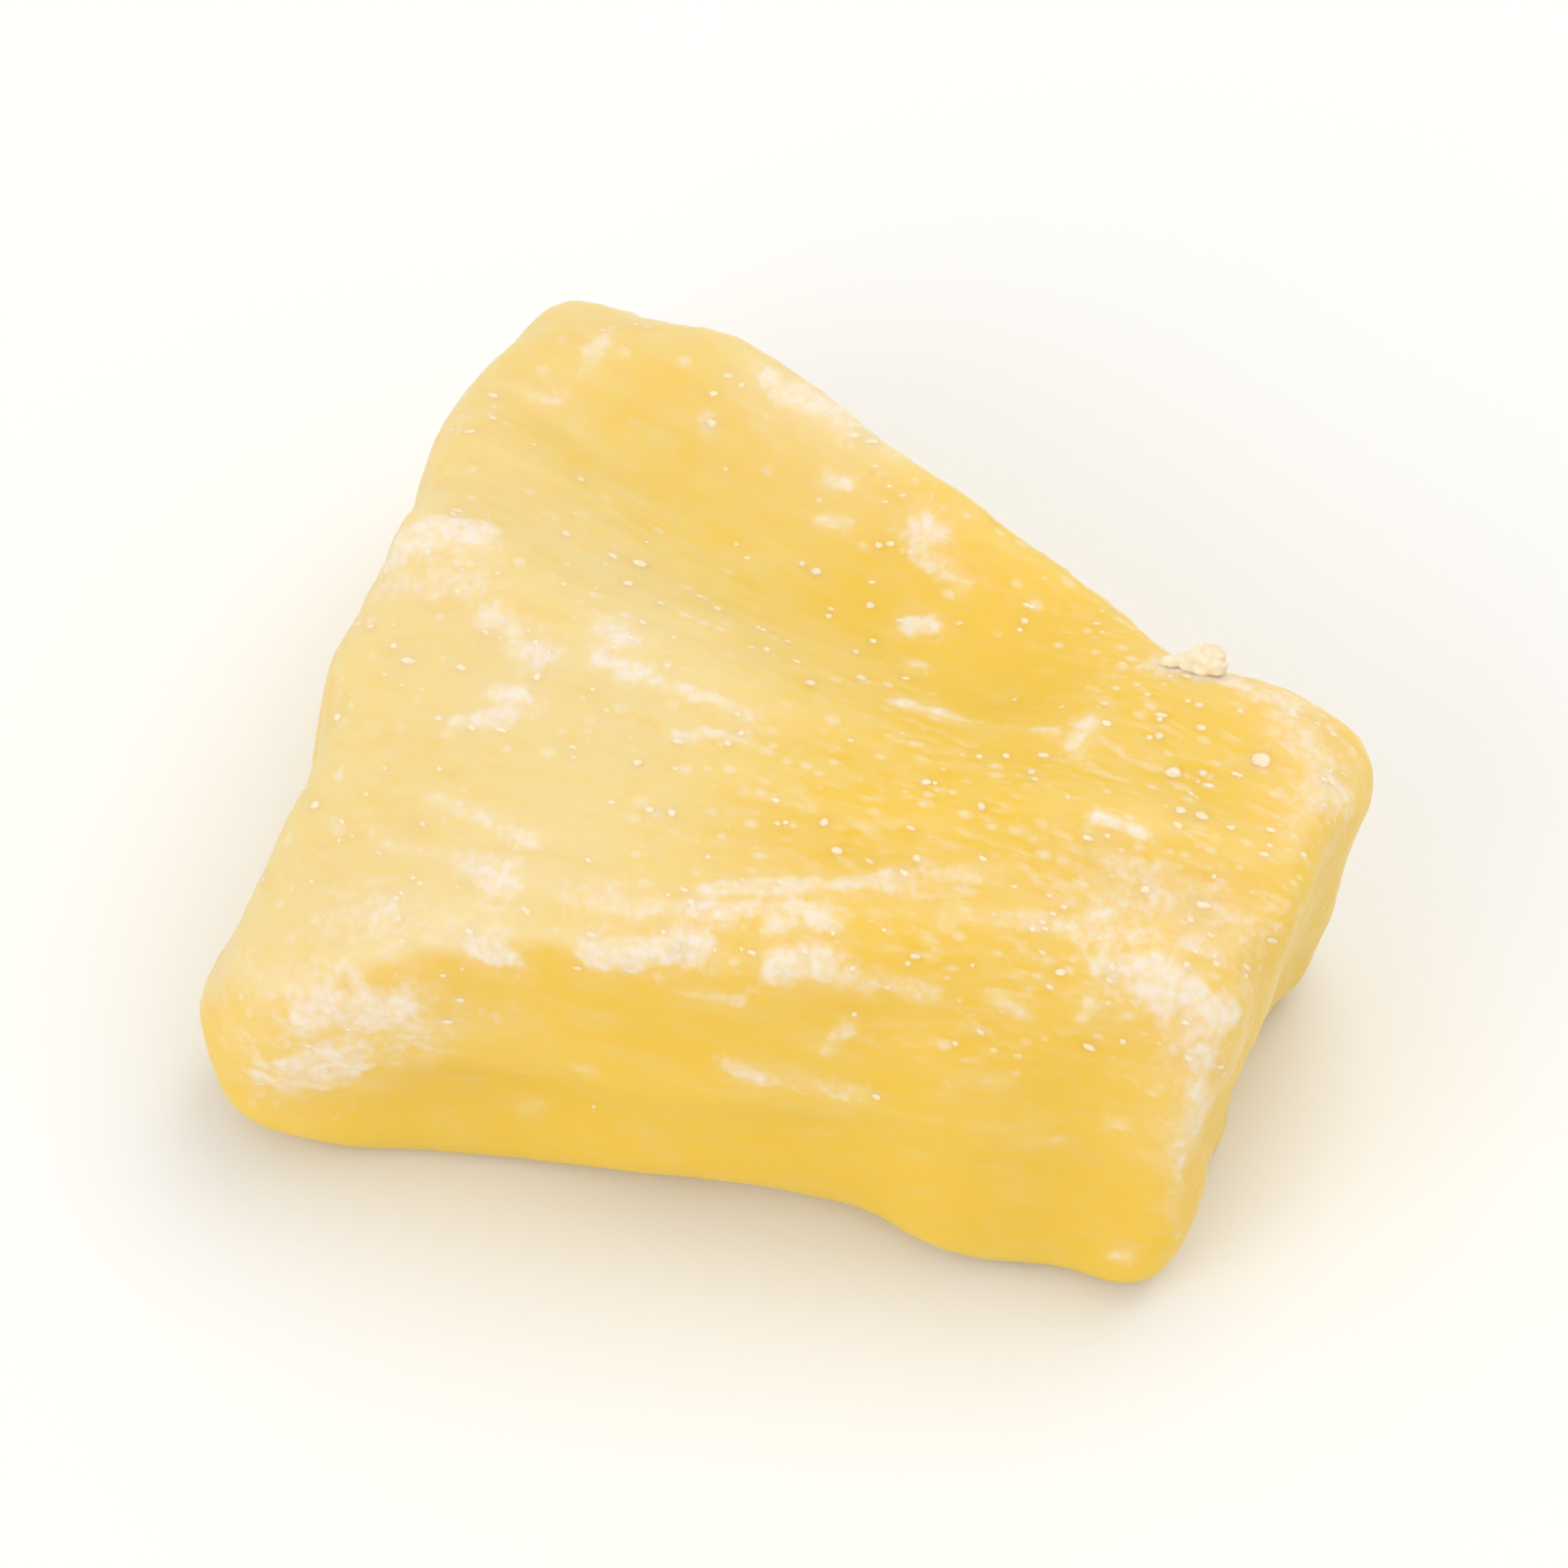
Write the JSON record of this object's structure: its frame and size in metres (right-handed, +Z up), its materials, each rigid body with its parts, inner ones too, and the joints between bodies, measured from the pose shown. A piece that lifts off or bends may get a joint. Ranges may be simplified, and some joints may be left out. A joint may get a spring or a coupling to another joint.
{
  "type": "dried pineapple wedge",
  "caption": "Chunky tapered wedge of dried candied pineapple: golden, fibrous, with soft rounded edges and a light dusting of sugar.",
  "frame": {"origin": "middle of the wedge's footprint, on the flat underside that it rests on", "axes": "+X along the fruit's fibres from the wide rim end to the narrow core end, +Y to the back cut, +Z up out of the ring's face"},
  "size_m": [0.0316, 0.027, 0.0125],
  "materials": {
    "candied_fruit": "satin",
    "sugar": "matte"
  },
  "bodies": {
    "root": {"pineapple_wedge": "candied_fruit"}
  },
  "joints": []
}
